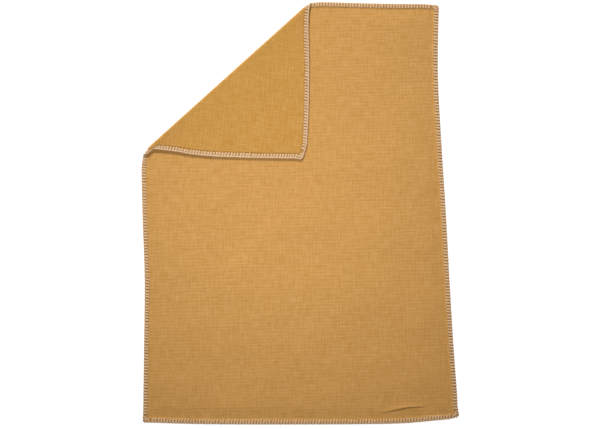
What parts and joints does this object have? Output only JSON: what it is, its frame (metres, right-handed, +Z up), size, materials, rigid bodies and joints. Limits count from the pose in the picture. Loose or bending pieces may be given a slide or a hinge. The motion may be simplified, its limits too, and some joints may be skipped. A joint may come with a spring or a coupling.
{
  "type": "throw blanket",
  "caption": "Woven throw blanket with a hand-stitched contrast edge, lying flat with one corner turned over along a diagonal fold.",
  "frame": {"origin": "under the middle of the outline, on the surface the throw lies on", "axes": "+X across the throw's width, +Y along its length towards the end whose corner is turned over, +Z up"},
  "size_m": [1.3644, 1.817, 0.0151],
  "materials": {
    "cloth_face": "matt ochre weave",
    "cloth_reverse": "matt ochre weave, reverse side",
    "edging_yarn": "soft cream wool yarn"
  },
  "bodies": {
    "throw": {"cloth_field": "cloth_face", "cloth_fold_roll": "cloth_face", "edging_top": "edging_yarn", "edging_right": "edging_yarn", "edging_bottom": "edging_yarn", "edging_left": "edging_yarn", "edging_fold_end_top": "edging_yarn", "edging_fold_end_left": "edging_yarn", "corner_stitches_top_right": "edging_yarn", "corner_stitches_bottom_right": "edging_yarn", "corner_stitches_bottom_left": "edging_yarn"},
    "turned_corner": {"cloth_turned_corner": "cloth_reverse", "edging_turned_top": "edging_yarn", "edging_turned_left": "edging_yarn", "corner_stitches_turned_tip": "edging_yarn"}
  },
  "joints": [
    {"name": "corner_fold", "type": "hinge", "parent": "throw", "child": "turned_corner", "pos_m": [-0.67089, 0.2667, 0.00755], "axis": [-0.7431, -0.6691, 0], "range_deg": [0, 179.9], "deforming": ["cloth_fold_roll", "edging_fold_end_top", "edging_fold_end_left"]}
  ]
}
